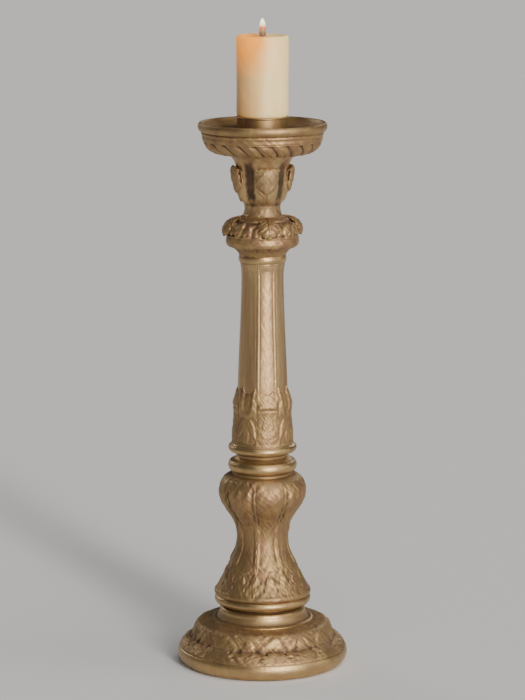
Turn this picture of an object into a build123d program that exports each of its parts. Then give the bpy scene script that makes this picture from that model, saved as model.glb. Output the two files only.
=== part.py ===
"""Altar candlestick of turned and cast brass sections, threaded on one steel tie rod.

Each section is a hollow casting or a turned ring that seats on the one below it. The rod runs up
the axis, from a nut in the underside of the foot to a pricket that screws down on the drip bowl,
so the rod holds the whole stack together. The drip dish lies loose on its bowl and lifts off over
the pricket, and the candle lifts off the pricket in turn.

Frame: millimetres, +Z up, the origin on the axis in the plane that the felt pad rests on. Four of
the eight ornament faces point along +X, -X, +Y and -Y.

Every turned profile is drawn as (radius, height above the section's own seat).
"""

import os

from build123d import *

# Ornament
face_count = 8
leaf_count = 4

# Height of each section of the stack, from the foot upwards
floor_gap = 1.0
rim_height = 17.6
dome_height = 31.4
collar_height = 16.5
bell_ring_height = 12.5
baluster_height = 139.5
lower_annulet_height = 20.5
upper_annulet_height = 15.0
shaft_height = 206.0
necking_height = 8.0
capital_height = 44.5
knop_height = 68.5
bowl_height = 25.0

# Seats: the height above the floor at which each section stands
rim_seat = floor_gap
dome_seat = rim_seat + rim_height
collar_seat = dome_seat + dome_height
bell_ring_seat = collar_seat + collar_height
baluster_seat = bell_ring_seat + bell_ring_height
lower_annulet_seat = baluster_seat + baluster_height
upper_annulet_seat = lower_annulet_seat + lower_annulet_height
shaft_seat = upper_annulet_seat + upper_annulet_height
necking_seat = shaft_seat + shaft_height
capital_seat = necking_seat + necking_height
knop_seat = capital_seat + capital_height
bowl_seat = knop_seat + knop_height
dish_seat = bowl_seat + bowl_height

# Radii where two sections meet
foot_radius = 96.3
dome_edge = 94.4
rim_bore = 84.0
collar_flange = 57.0
dome_hole = 44.0
collar_top = 42.5
ring_bore = 38.0
urn_mouth = 34.0
annulet_edge = 35.0
annulet_groove = 29.0
annulet_bore = 20.0
sleeve_radius = 28.4
necking_edge = 25.8
necking_bore = 18.0
capital_foot = 26.0
capital_mouth = 22.0
knop_foot = 22.4
knop_top = 38.0
bowl_radius = 67.0
dish_radius = 72.0
spigot_clearance = 0.2
spigot_depth = 3.5

# Tie rod and its fittings
rod_radius = 5.0
rod_hole = 5.5
thread_clearance = 0.05
rod_foot = 2.5
rod_head = 599.0
nut_across_flats = 17.0
nut_height = 8.0
washer_radius = 10.0
washer_thickness = 2.0

# Foot filling
pad_thickness = 2.0
pad_inner_radius = 22.0
pad_outer_radius = 86.0
plate_thickness = 2.0
plate_recess = 87.0
plate_radius = 86.8
plate_top = pad_thickness + plate_thickness
well_radius = 18.0
well_top = 16.0
ballast_outer_radius = 78.0
ballast_height = 18.0
ballast_chamfer = 6.0

# Index pins
pin_radius = 1.25
pin_length = 5.0

# Candle, its cup and the pricket
dish_sheet = 1.6
dish_depth = 2.0
dish_hole = 9.0
cup_bore = 27.3
cup_wall = 1.2
cup_sheet = 1.4
cup_height = 18.8
cup_bead = 0.7
web_thickness = 5.0
hexagon_across_flats = 24.0
hexagon_height = 5.0
pricket_height = 66.0
pricket_boss_radius = 8.0
pricket_root_radius = 4.6
candle_radius = 30.0
candle_height = 107.2
candle_hole_radius = 5.2
butt_radius = 27.0
wick_radius = 1.3
wick_depth = 54.2
wick_length = 68.0

cup_seat = dish_seat - dish_depth
candle_seat = cup_seat + cup_sheet
pricket_seat = bowl_seat + web_thickness

os.makedirs("parts", exist_ok=True)


def upright(height):
    """The plane of a turned profile: radius across, and height above the section's seat."""
    return Plane((0, 0, height), x_dir=(1, 0, 0), z_dir=(0, -1, 0))


def write(sub_part, label):
    """Labels a finished sub-part and writes it to its own STEP file."""
    sub_part.part.label = label
    export_step(sub_part.part, f"parts/{label}.step")


# Index pins: one across each joint of the stack, so that the ornament faces stay in line
pin_places = [
    (50.0, collar_seat),
    (40.0, bell_ring_seat),
    (45.0, baluster_seat),
    (27.0, lower_annulet_seat),
    (25.0, upper_annulet_seat),
    (24.0, shaft_seat),
    (21.5, necking_seat),
    (24.0, capital_seat),
    (15.0, knop_seat),
    (20.0, bowl_seat),
]
with BuildPart() as index_pins:
    for pin_circle, joint_height in pin_places:
        with Locations((0, pin_circle, joint_height)):
            Cylinder(pin_radius, pin_length)
write(index_pins, "index_pins")

# Foot pad: a felt ring glued under the base plate
with BuildPart() as foot_pad:
    with BuildSketch():
        Circle(pad_outer_radius)
        Circle(pad_inner_radius, mode=Mode.SUBTRACT)
    extrude(amount=pad_thickness)
write(foot_pad, "foot_pad")

# Base plate: a pressed steel disc with a raised well that takes the nut
with BuildPart() as base_plate:
    with BuildSketch(upright(0)):
        with BuildLine():
            Polyline(
                (rod_hole, well_top),
                (well_radius + plate_thickness, well_top),
                (well_radius + plate_thickness, plate_top),
                (plate_radius, plate_top),
                (plate_radius, pad_thickness),
                (well_radius, pad_thickness),
                (well_radius, well_top - plate_thickness),
                (rod_hole, well_top - plate_thickness),
                close=True,
            )
        make_face()
    revolve(axis=Axis.Z)
write(base_plate, "base_plate")

# Tie rod, with its nut and washer up inside the well
washer_seat = well_top - plate_thickness - washer_thickness
with BuildPart() as tie_washer:
    with BuildSketch(Plane.XY.offset(washer_seat)):
        Circle(washer_radius)
        Circle(rod_hole, mode=Mode.SUBTRACT)
    extrude(amount=washer_thickness)
write(tie_washer, "tie_washer")

with BuildPart() as tie_nut:
    with BuildSketch(Plane.XY.offset(washer_seat - nut_height)):
        RegularPolygon(nut_across_flats / 2, 6, major_radius=False)
        Circle(rod_radius + thread_clearance, mode=Mode.SUBTRACT)
    extrude(amount=nut_height)
write(tie_nut, "tie_nut")

with BuildPart() as tie_rod:
    with BuildSketch(Plane.XY.offset(rod_foot)):
        Circle(rod_radius)
    extrude(amount=rod_head - rod_foot)
    chamfer(tie_rod.edges().filter_by(GeomType.CIRCLE), length=1.0)
write(tie_rod, "tie_rod")

# Ballast: a cast-iron ring that lies on the base plate
with BuildPart() as ballast_ring:
    with BuildSketch(Plane.XY.offset(plate_top)):
        Circle(ballast_outer_radius)
        Circle(well_radius + plate_thickness + 1, mode=Mode.SUBTRACT)
    extrude(amount=ballast_height)
    upper_edges = ballast_ring.edges().group_by(Axis.Z)[-1]
    chamfer(upper_edges.sort_by(SortBy.RADIUS)[-1], length=ballast_chamfer)
write(ballast_ring, "ballast_ring")

# Foot rim: the heavy half-round moulding, with a ledge that the base plate draws up against
ledge = plate_top - rim_seat
rim_spigot = rim_height + spigot_depth
with BuildPart() as foot_rim:
    with BuildSketch(upright(rim_seat)):
        with BuildLine():
            Line((plate_recess, 0), (90.6, 0))
            ThreePointArc((90.6, 0), (foot_radius, 9.2), (95, 17))
            Polyline(
                (95, 17),
                (dome_edge, rim_height),
                (rim_bore + 3.5, rim_height),
                (rim_bore + 3.5, rim_spigot),
                (rim_bore, rim_spigot),
                (rim_bore, ledge),
                (plate_recess, ledge),
                (plate_recess, 0),
            )
        make_face()
    revolve(axis=Axis.Z)
write(foot_rim, "foot_rim")

# Foot dome: a hollow casting, stepped between its shoulder and its skirt
with BuildPart() as foot_dome:
    with BuildSketch(upright(dome_seat)):
        with BuildLine():
            ThreePointArc((dome_edge, 0), (89.6, 7.7), (82.2, 12))
            Polyline((82.2, 12), (80.8, 14.4), (79.8, 18.4), (78.8, 22.6))
            ThreePointArc((78.8, 22.6), (76.8, 27.8), (72.4, 30))
            Polyline(
                (72.4, 30),
                (collar_flange, dome_height),
                (dome_hole, dome_height),
                (dome_hole, dome_height - 3.5),
                (71, 26.6),
                (75.2, 22),
                (76.6, 15.9),
                (79, 9.2),
                (86.5, 5.2),
                (91, 0),
                (dome_edge, 0),
            )
        make_face()
    revolve(axis=Axis.Z)
    add(index_pins.part, mode=Mode.SUBTRACT)
write(foot_dome, "foot_dome")

# Foot collar: a turned throat that carries the column, with a spigot into the dome below it and
# another into the ring above
collar_spigot = ring_bore - spigot_clearance
dome_spigot = dome_hole - spigot_clearance
with BuildPart() as foot_collar:
    with BuildSketch(upright(collar_seat)):
        with BuildLine():
            Polyline((collar_flange, 0), (collar_flange, 1.3), (54.5, 2.3), (52.5, 2.3))
            ThreePointArc((52.5, 2.3), (49.6, 6.5), (48.6, 11.3))
            ThreePointArc((48.6, 11.3), (46.6, 14.6), (collar_top, 15.6))
            Polyline(
                (collar_top, 15.6),
                (collar_top, collar_height),
                (collar_spigot, collar_height),
                (collar_spigot, collar_height + spigot_depth),
                (rod_hole, collar_height + spigot_depth),
                (rod_hole, collar_height - 1),
                (34, collar_height - 1),
                (38, 11),
                (40.5, -6),
                (dome_spigot, -6),
                (dome_spigot, 0),
                (collar_flange, 0),
            )
        make_face()
    revolve(axis=Axis.Z)
    add(index_pins.part, mode=Mode.SUBTRACT)
write(foot_collar, "foot_collar")

# Bell ring: the bright torus under the baluster
with BuildPart() as bell_ring:
    with BuildSketch(upright(bell_ring_seat)):
        with BuildLine():
            Polyline((ring_bore, 0), (collar_top, 0), (43, 2.4), (46.5, 2.8))
            ThreePointArc((46.5, 2.8), (54.5, 7.8), (51.5, bell_ring_height))
            Polyline((51.5, bell_ring_height), (ring_bore, bell_ring_height), (ring_bore, 0))
        make_face()
    revolve(axis=Axis.Z)
    add(index_pins.part, mode=Mode.SUBTRACT)
write(bell_ring, "bell_ring")

# Baluster: one hollow casting, a flared bell below a waist and an urn above it
annulet_spigot = annulet_bore - spigot_clearance
with BuildPart() as baluster:
    with BuildSketch(upright(baluster_seat)):
        with BuildLine():
            Polyline((34.5, -4), (collar_spigot, -4), (collar_spigot, 0), (52.8, 0))
            ThreePointArc((52.8, 0), (54.8, 2.5), (53.4, 7))
            Spline(
                (53.4, 7),
                (45, 21.5),
                (36.8, 41),
                (30.6, 55),
                (29.4, 67),
                (34, 86),
                (46.8, 107),
                (50, 120),
                (45.4, 133.6),
                (urn_mouth, baluster_height),
            )
            Polyline(
                (urn_mouth, baluster_height),
                (annulet_spigot, baluster_height),
                (annulet_spigot, baluster_height + spigot_depth),
                (rod_hole, baluster_height + spigot_depth),
                (rod_hole, baluster_height - web_thickness),
                (30, baluster_height - web_thickness),
                (40, 130.5),
                (45.4, 120),
                (41.5, 107),
                (29.5, 84),
                (25.4, 71),
                (25.4, 59),
                (29, 46),
                (37, 29),
                (42, 16),
                (48, 5),
                (34.5, 1.5),
                (34.5, -4),
            )
        make_face()
    revolve(axis=Axis.Z)
    add(index_pins.part, mode=Mode.SUBTRACT)
write(baluster, "baluster")

# Annulets: two turned rings with a deep groove where they meet
with BuildPart() as lower_annulet:
    with BuildSketch(upright(lower_annulet_seat)):
        with BuildLine():
            Polyline((annulet_bore, 0), (urn_mouth, 0), (urn_mouth, 3), (36, 3.8))
            ThreePointArc((36, 3.8), (38.9, 9.8), (36.6, 15.6))
            Polyline(
                (36.6, 15.6),
                (32.4, 17.6),
                (annulet_groove, lower_annulet_height),
                (annulet_bore, lower_annulet_height),
                (annulet_bore, 0),
            )
        make_face()
    revolve(axis=Axis.Z)
    add(index_pins.part, mode=Mode.SUBTRACT)
write(lower_annulet, "lower_annulet")

with BuildPart() as upper_annulet:
    with BuildSketch(upright(upper_annulet_seat)):
        with BuildLine():
            Polyline(
                (17, -8),
                (annulet_spigot, -8),
                (annulet_spigot, 0),
                (annulet_groove, 0),
                (29.6, 3.4),
                (34.6, 5.2),
            )
            ThreePointArc((34.6, 5.2), (38.7, 9.8), (36.2, 13.8))
            Polyline(
                (36.2, 13.8),
                (annulet_edge, upper_annulet_height),
                (annulet_bore, upper_annulet_height),
                (annulet_bore, 9),
                (17, 6),
                (17, -8),
            )
        make_face()
    revolve(axis=Axis.Z)
    add(index_pins.part, mode=Mode.SUBTRACT)
write(upper_annulet, "upper_annulet")

# Shaft: a tapered tube with a web at each end, panelled between eight slender ribs
sleeve_height = 68.0
rib_half_width = 1.3
panel_bulge = 90.0
half_face = 0.3827
panel_depth = 0.9239
panel_sections = [(76.0, 28.1), (126.0, 26.0), (182.0, 24.05), (196.0, 24.2)]
with BuildPart() as panel_cutter:
    for height, radius in panel_sections:
        half_width = radius * half_face - rib_half_width
        chord = radius * panel_depth
        outside = radius + 3
        with BuildSketch(Plane.XY.offset(shaft_seat + height)):
            with BuildLine():
                Polyline(
                    (chord, -half_width),
                    (outside, -half_width),
                    (outside, half_width),
                    (chord, half_width),
                )
                RadiusArc((chord, half_width), (chord, -half_width), panel_bulge)
            make_face()
    loft(ruled=True)

necking_spigot = necking_bore - spigot_clearance
with BuildPart() as shaft:
    with BuildSketch(upright(shaft_seat)):
        with BuildLine():
            Polyline(
                (rod_hole, -4),
                (annulet_spigot, -4),
                (annulet_spigot, 0),
                (sleeve_radius, 0),
                (sleeve_radius, sleeve_height),
            )
            Spline(
                (sleeve_radius, sleeve_height),
                (26.2, 121),
                (24.1, 178),
                (24.2, 196),
                (25.3, shaft_height),
            )
            Polyline(
                (25.3, shaft_height),
                (necking_spigot, shaft_height),
                (necking_spigot, shaft_height + 4),
                (rod_hole, shaft_height + 4),
                (rod_hole, shaft_height - 4),
                (20.2, shaft_height - 4),
                (20.2, 182),
                (22.6, 121),
                (24.8, sleeve_height),
                (24.8, 4),
                (rod_hole, 4),
                (rod_hole, -4),
            )
        make_face()
    revolve(axis=Axis.Z)
    with PolarLocations(0, face_count):
        add(panel_cutter.part, mode=Mode.SUBTRACT)
    add(index_pins.part, mode=Mode.SUBTRACT)
write(shaft, "shaft")

# Leaf cup: a sleeve round the foot of the shaft, its top edge cut away in front of each panel
cup_inner = sleeve_radius + spigot_clearance
leaf_cup_height = 67.0
notch_radius = 7.5
with BuildPart() as leaf_cup:
    with BuildSketch(upright(shaft_seat)):
        with BuildLine():
            Polyline((cup_inner, 0), (annulet_edge, 0), (34.7, 4))
            Spline((34.7, 4), (34.8, 12), (33, 34), (33.5, 43), (31.4, 56), (29.2, leaf_cup_height))
            Polyline((29.2, leaf_cup_height), (cup_inner, leaf_cup_height), (cup_inner, 0))
        make_face()
    revolve(axis=Axis.Z)
    with PolarLocations(annulet_edge, face_count):
        with Locations((0, 0, shaft_seat + leaf_cup_height)):
            Cylinder(notch_radius, 20, rotation=(0, 90, 0), mode=Mode.SUBTRACT)
write(leaf_cup, "leaf_cup")

# Necking ring: a low band between the shaft and the capital
capital_spigot = capital_mouth - spigot_clearance
with BuildPart() as necking_ring:
    with BuildSketch(upright(necking_seat)):
        with BuildLine():
            Line((necking_bore, 0), (necking_edge, 0))
            ThreePointArc((necking_edge, 0), (26.8, 4), (capital_foot, necking_height))
            Polyline(
                (capital_foot, necking_height),
                (capital_spigot, necking_height),
                (capital_spigot, necking_height + spigot_depth),
                (necking_bore, necking_height + spigot_depth),
                (necking_bore, 0),
            )
        make_face()
    revolve(axis=Axis.Z)
    add(index_pins.part, mode=Mode.SUBTRACT)
write(necking_ring, "necking_ring")

# Capital: a hollow drum with a cavetto below and a rounded shoulder above
with BuildPart() as capital_body:
    with BuildSketch(upright(capital_seat)):
        with BuildLine():
            Line((capital_mouth, 0), (capital_foot, 0))
            ThreePointArc((capital_foot, 0), (29.6, 5.2), (36, 9))
            Polyline((36, 9), (39.4, 10.6), (40.6, 13), (40.6, 21.5))
            Spline((40.6, 21.5), (40.6, 28), (37.6, 35.5), (30, 40.8), (23.4, 43.4))
            Polyline(
                (23.4, 43.4),
                (knop_foot, capital_height),
                (rod_hole, capital_height),
                (rod_hole, capital_height - 6),
                (24, 37),
                (34.6, 31),
                (34.6, 16),
                (27, 7),
                (capital_mouth, 4.5),
                (capital_mouth, 0),
            )
        make_face()
    revolve(axis=Axis.Z)
    add(index_pins.part, mode=Mode.SUBTRACT)
write(capital_body, "capital_body")

# Capital leaves: four petals, soldered on the shoulder, that droop over the drum
petal_sector = 60
with BuildPart() as petal_blank:
    with BuildSketch(upright(capital_seat)):
        with BuildLine():
            Spline((22.8, 43.8), (30, 42.9), (41.5, 37.6), (45.8, 29), (44.4, 21.8))
            Polyline((44.4, 21.8), (38, 21.8), (36.5, 32), (28, 38), (22.8, 41), (22.8, 43.8))
        make_face()
    revolve(axis=Axis.Z, revolution_arc=petal_sector)
with BuildPart() as petal_outline:
    with BuildSketch(Plane.XY.offset(capital_seat)):
        with BuildLine():
            Line((22, 0), (22, 5))
            Spline((22, 5), (30, 10.5), (38, 13.5), (44, 10), (46.2, 0), tangents=[(1, 0.8), (0, -1)])
            mirror(about=Plane.XZ)
        make_face()
    extrude(amount=capital_height + 5)
petal = petal_blank.part.rotate(Axis.Z, -petal_sector / 2) & petal_outline.part
with BuildPart() as capital_leaves:
    with PolarLocations(0, leaf_count):
        add(petal)
    add(capital_body.part, mode=Mode.SUBTRACT)
write(capital_leaves, "capital_leaves")

# Knop: a hollow vase on a slender neck
with BuildPart() as knop_body:
    with BuildSketch(upright(knop_seat)):
        with BuildLine():
            Line((rod_hole, 0), (knop_foot, 0))
            ThreePointArc((knop_foot, 0), (20, 6.5), (22.4, 15))
            ThreePointArc((22.4, 15), (26.4, 24), (28.2, 37.5))
            Line((28.2, 37.5), (29.2, 49.5))
            ThreePointArc((29.2, 49.5), (31.4, 60), (knop_top, knop_height))
            Polyline(
                (knop_top, knop_height),
                (rod_hole, knop_height),
                (rod_hole, knop_height - web_thickness),
                (26, 61.5),
                (24.6, 48.5),
                (24.6, 36.5),
                (23.2, 26.5),
                (15, 13.5),
                (15, 6.5),
                (rod_hole, 5.5),
                (rod_hole, 0),
            )
        make_face()
    revolve(axis=Axis.Z)
    add(index_pins.part, mode=Mode.SUBTRACT)
write(knop_body, "knop_body")

# Knop leaves: four upright leaves, soldered on, whose tips curl away from the vase
knop_sector = 80
solder_gap = 0.1
with BuildPart() as leaf_blank:
    with BuildSketch(upright(knop_seat)):
        with BuildLine():
            Spline(
                (22.4 + solder_gap, 15),
                (25.9, 20),
                (30, 27.2),
                (32.2, 37.5),
                (35.3, 49),
                (33.8, 54.6),
                (31.2, 56.5),
            )
            Polyline(
                (31.2, 56.5), (30.2, 53.5), (29.2 + solder_gap, 49.5), (28.2 + solder_gap, 37.5)
            )
            ThreePointArc(
                (28.2 + solder_gap, 37.5), (26.4 + solder_gap, 24), (22.4 + solder_gap, 15)
            )
        make_face()
    revolve(axis=Axis.Z, revolution_arc=knop_sector)
with BuildPart() as leaf_outline:
    with BuildSketch(Plane.YZ):
        with BuildLine():
            Spline(
                (0, knop_seat + 14.5),
                (9, knop_seat + 24),
                (14, knop_seat + 35.5),
                (14.5, knop_seat + 47.5),
                (8, knop_seat + 56.5),
                (0, knop_seat + 58),
            )
            mirror(about=Plane.YZ)
        make_face()
    extrude(amount=knop_top)
leaf = leaf_blank.part.rotate(Axis.Z, -knop_sector / 2) & leaf_outline.part
with BuildPart() as knop_leaves:
    with PolarLocations(0, leaf_count):
        add(leaf)
write(knop_leaves, "knop_leaves")

# Drip bowl: the fixed, ornamented bowl that the pricket clamps
with BuildPart() as drip_bowl:
    with BuildSketch(upright(bowl_seat)):
        with BuildLine():
            Polyline((rod_hole, 0), (knop_top, 0), (44, 0.8))
            ThreePointArc((44, 0.8), (61.8, 6), (bowl_radius, 16.5))
            Line((bowl_radius, 16.5), (bowl_radius, 20.8))
            ThreePointArc((bowl_radius, 20.8), (68, 22.8), (67.2, bowl_height))
            Polyline(
                (67.2, bowl_height),
                (64.7, bowl_height),
                (64.7, 17),
                (60.5, 9),
                (50, 5.5),
                (20, web_thickness),
                (rod_hole, web_thickness),
                (rod_hole, 0),
            )
        make_face()
    revolve(axis=Axis.Z)
    add(index_pins.part, mode=Mode.SUBTRACT)
write(drip_bowl, "drip_bowl")

# Drip dish: a loose dish with an everted lip that rests on the bowl's edge
dish_underside = -dish_depth - dish_sheet
with BuildPart() as drip_dish:
    with BuildSketch(upright(dish_seat)):
        with BuildLine():
            Line((dish_hole, dish_underside), (57, dish_underside))
            ThreePointArc((57, dish_underside), (60.9, -2.5), (63.4, 0))
            Polyline((63.4, 0), (68.2, 0), (70.8, 1.6))
            ThreePointArc((70.8, 1.6), (dish_radius, 5.6), (70.8, 9.4))
            ThreePointArc((70.8, 9.4), (69.4, 10.2), (67.8, 9.2))
            Line((67.8, 9.2), (62.6, 1))
            ThreePointArc((62.6, 1), (60.4, -1.1), (57, -dish_depth))
            Polyline((57, -dish_depth), (dish_hole, -dish_depth), (dish_hole, dish_underside))
        make_face()
    revolve(axis=Axis.Z)
write(drip_dish, "drip_dish")

# Candle cup: a shallow cup with a beaded rim, soldered to the dish's floor
cup_radius = cup_bore + cup_wall
with BuildPart() as candle_cup:
    with BuildSketch(upright(cup_seat)):
        with BuildLine():
            Polyline((dish_hole, 0), (cup_radius, 0), (cup_radius, cup_height - 2.2))
            ThreePointArc(
                (cup_radius, cup_height - 2.2),
                (cup_radius + cup_bead, cup_height - 1.1),
                (cup_radius, cup_height),
            )
            Polyline(
                (cup_radius, cup_height),
                (cup_bore, cup_height),
                (cup_bore, cup_sheet),
                (dish_hole, cup_sheet),
                (dish_hole, 0),
            )
        make_face()
    revolve(axis=Axis.Z)
write(candle_cup, "candle_cup")

# Pricket: a hexagon that screws down on the rod, with the spike that holds the candle
with BuildPart() as pricket:
    with BuildSketch(Plane.XY.offset(pricket_seat)):
        RegularPolygon(hexagon_across_flats / 2, 6, major_radius=False)
    extrude(amount=hexagon_height)
    with BuildSketch(upright(pricket_seat)):
        with BuildLine():
            Polyline(
                (0, 0),
                (pricket_boss_radius, 0),
                (pricket_boss_radius, 16),
                (pricket_root_radius, 18.4),
                (0, pricket_height),
                close=True,
            )
        make_face()
    revolve(axis=Axis.Z)
    with BuildSketch(Plane.XY.offset(pricket_seat)):
        Circle(rod_radius + thread_clearance)
    extrude(amount=rod_head + 0.5 - pricket_seat, mode=Mode.SUBTRACT)
write(pricket, "pricket")

# Candle: a wax pillar with a butt turned to fit the cup and a tapered hole for the spike
butt_height = cup_height - cup_sheet + 0.5
wick_foot = candle_height - 2.4 - wick_depth
with BuildPart() as candle:
    with BuildSketch(upright(candle_seat)):
        with BuildLine():
            Polyline(
                (candle_hole_radius, 0),
                (butt_radius, 0),
                (butt_radius, butt_height),
                (29.4, butt_height),
                (candle_radius, butt_height + 0.6),
                (candle_radius, candle_height - 3.6),
            )
            ThreePointArc(
                (candle_radius, candle_height - 3.6),
                (candle_radius - 1.1, candle_height - 1),
                (candle_radius - 4, candle_height),
            )
            Spline(
                (candle_radius - 4, candle_height),
                (14, candle_height - 1.6),
                (wick_radius, candle_height - 2.4),
            )
            Polyline(
                (wick_radius, candle_height - 2.4),
                (wick_radius, wick_foot),
                (candle_hole_radius, 0),
            )
        make_face()
    revolve(axis=Axis.Z)
write(candle, "candle")

# Wick: a braided cotton cord up the middle of the candle
with BuildPart() as wick:
    with BuildSketch(Plane.XY.offset(candle_seat + wick_foot)):
        Circle(wick_radius)
    extrude(amount=wick_length)
    fillet(wick.edges().group_by(Axis.Z)[-1], radius=0.6)
write(wick, "wick")
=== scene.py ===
"""Looks of the altar candlestick: carved brass sections, wax candle and flame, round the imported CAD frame.

Lengths are in metres, but ornament is laid out in millimetres. Angles are in radians. The plain outline
of each section is read from its CAD node, and the ornament is carved into it as a height field.
"""
import math

import bpy
import numpy as np
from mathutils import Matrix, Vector
from mathutils.bvhtree import BVHTree


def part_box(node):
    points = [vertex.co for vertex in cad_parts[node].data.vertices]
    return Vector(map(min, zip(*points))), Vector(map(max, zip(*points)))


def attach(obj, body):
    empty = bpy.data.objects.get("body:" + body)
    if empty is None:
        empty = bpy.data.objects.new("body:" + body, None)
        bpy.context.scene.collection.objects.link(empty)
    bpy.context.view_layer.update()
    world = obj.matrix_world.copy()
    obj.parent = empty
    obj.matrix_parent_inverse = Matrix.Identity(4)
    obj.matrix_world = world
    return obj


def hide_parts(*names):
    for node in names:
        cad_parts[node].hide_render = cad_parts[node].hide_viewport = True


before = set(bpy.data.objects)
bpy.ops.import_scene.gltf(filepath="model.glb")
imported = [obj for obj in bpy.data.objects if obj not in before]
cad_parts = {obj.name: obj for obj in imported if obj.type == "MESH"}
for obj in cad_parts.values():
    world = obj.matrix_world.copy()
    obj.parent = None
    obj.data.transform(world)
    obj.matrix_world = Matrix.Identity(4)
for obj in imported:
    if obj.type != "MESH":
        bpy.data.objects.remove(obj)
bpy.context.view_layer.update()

MM = 0.001
TAU = 2 * math.pi
FACES = 8  # panels round the foot, the baluster, the leaf cup and the shaft
FACE_STEP = TAU / FACES
LEAVES = 4  # petals of the capital, and leaves of the knop
GADROONS = 22  # leaves round the drip bowl
FOOT_RADIUS = 78  # millimetres, the radius that the foot's foliage is drawn for
CUP_BORE = 24  # millimetres, the inner radius of the leaf cup's casting

HOLLOW_SIZES = (1.6, 6.0)  # millimetres over which a surface is compared with its surroundings
SHALLOW = 1.0  # millimetres that a cut may go in before its depth is painted darker, as shade
DEEP_SHADE_SHARE = 0.42  # how much more hollow, and so how much more painted shade, each further millimetre of a cut brings
BACK_HOLLOW = 0.2  # how hollow a section's plain back is
CREASE = 0.7  # the angle from which an edge on a plain piece is sharp


# ---------------------------------------------------------------- outlines read from the frame

def seam(node):
    """The closed outline of a turned CAD node, as (radius, height) rows, upwards on its outside."""
    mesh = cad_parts[node].data
    place = {
        v.index: (round(v.co.x, 7), round(v.co.z, 7))
        for v in mesh.vertices
        if abs(v.co.y) < 1e-7 and v.co.x > 1e-6
    }
    links = {}
    for e in mesh.edges:
        a, b = (place.get(i) for i in e.vertices)
        if a and b and a != b:
            links.setdefault(a, set()).add(b)
            links.setdefault(b, set()).add(a)
    start = min(links)
    loop, previous, here = [start], None, start
    while True:
        ahead = [p for p in sorted(links[here]) if p != previous]
        previous, here = here, ahead[0]
        if here == start:
            loop = np.array(loop)
            ahead = np.roll(loop, -1, axis=0)
            area = (loop[:, 0] * ahead[:, 1] - ahead[:, 0] * loop[:, 1]).sum()
            return loop if area > 0 else np.roll(loop[::-1], 1, axis=0)
        loop.append(here)


def low(node):
    """Height of a node's lowest point."""
    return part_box(node)[0].z


def high(node):
    """Height of a node's highest point."""
    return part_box(node)[1].z


def outline(node, bottom, top):
    """A section's outside, from bottom to top, and the rest of its outline, from top to bottom.

    The two meet at the outermost point at the height called bottom, and at that at the height called top.
    """
    loop = seam(node)
    ends = []
    for height in (bottom, top):
        level = np.abs(loop[:, 1] - height) < 0.02 * MM
        ends.append(int(np.argmax(np.where(level, loop[:, 0], -1))))
    rolled = np.roll(loop, -ends[0], axis=0)
    stop = (ends[1] - ends[0]) % len(loop)
    one_way = rolled[: stop + 1]
    other_way = np.vstack([rolled[:1], rolled[: stop - 1 : -1]])
    inside, outside = sorted((one_way, other_way), key=mean_radius)
    return outside, inside[-2:0:-1]


def silhouette(node, azimuth, heights):
    """The outline of a node at one azimuth: its outermost radius at each height."""
    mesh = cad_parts[node].data
    tree = BVHTree.FromPolygons([v.co for v in mesh.vertices], [p.vertices for p in mesh.polygons])
    sideways = Vector((math.sin(azimuth), -math.cos(azimuth), 0))
    outside_all = 0.2
    line = []
    for height in heights:
        hit = tree.ray_cast(sideways * outside_all + Vector((0, 0, height)), -sideways)[0]
        line.append((hit.xy.length, height))
    return np.array(line)


def mean_radius(line):
    """The radius of an open outline, averaged over its length."""
    step = np.linalg.norm(np.diff(line, axis=0), axis=1)
    return float((step * (line[1:, 0] + line[:-1, 0]) / 2).sum() / step.sum())


def smooth(points, per_step=10, corner=0.6):
    """A fine line that runs smoothly through points, but keeps each corner sharper than corner radians."""
    points = np.asarray(points, float)
    step = np.diff(points, axis=0)
    heading = np.unwrap(np.arctan2(step[:, 1], step[:, 0]))
    sharp = [0] + [i + 1 for i, turn in enumerate(np.abs(np.diff(heading))) if turn > corner]
    sharp.append(len(points) - 1)
    line = [points[:1]]
    t = np.linspace(0, 1, per_step + 1)[1:, None]
    for first, last in zip(sharp[:-1], sharp[1:]):
        run = points[first : last + 1]
        padded = np.vstack([2 * run[0] - run[1], run, 2 * run[-1] - run[-2]])
        gap = np.linalg.norm(np.diff(padded, axis=0), axis=1)[:, None]
        slope = np.diff(padded, axis=0) / gap
        for i in range(1, len(run)):
            p, q = padded[i], padded[i + 1]
            before, here, after = gap[i - 1], gap[i], gap[i + 1]
            leaving = (slope[i] * before + slope[i - 1] * here) / (before + here) * here
            arriving = (slope[i + 1] * here + slope[i] * after) / (here + after) * here
            line.append(
                p * (2 * t**3 - 3 * t**2 + 1) + leaving * (t**3 - 2 * t**2 + t)
                + q * (3 * t**2 - 2 * t**3) + arriving * (t**3 - t**2)
            )
    return np.vstack(line)


def spaced(line, count):
    """count rows evenly spaced along a fine line, with each row's distance along it."""
    length = np.concatenate([[0], np.cumsum(np.linalg.norm(np.diff(line, axis=0), axis=1))])
    at = np.linspace(0, length[-1], count)
    return np.column_stack([np.interp(at, length, line[:, 0]), np.interp(at, length, line[:, 1])]), at


# ---------------------------------------------------------------- meshes

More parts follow.
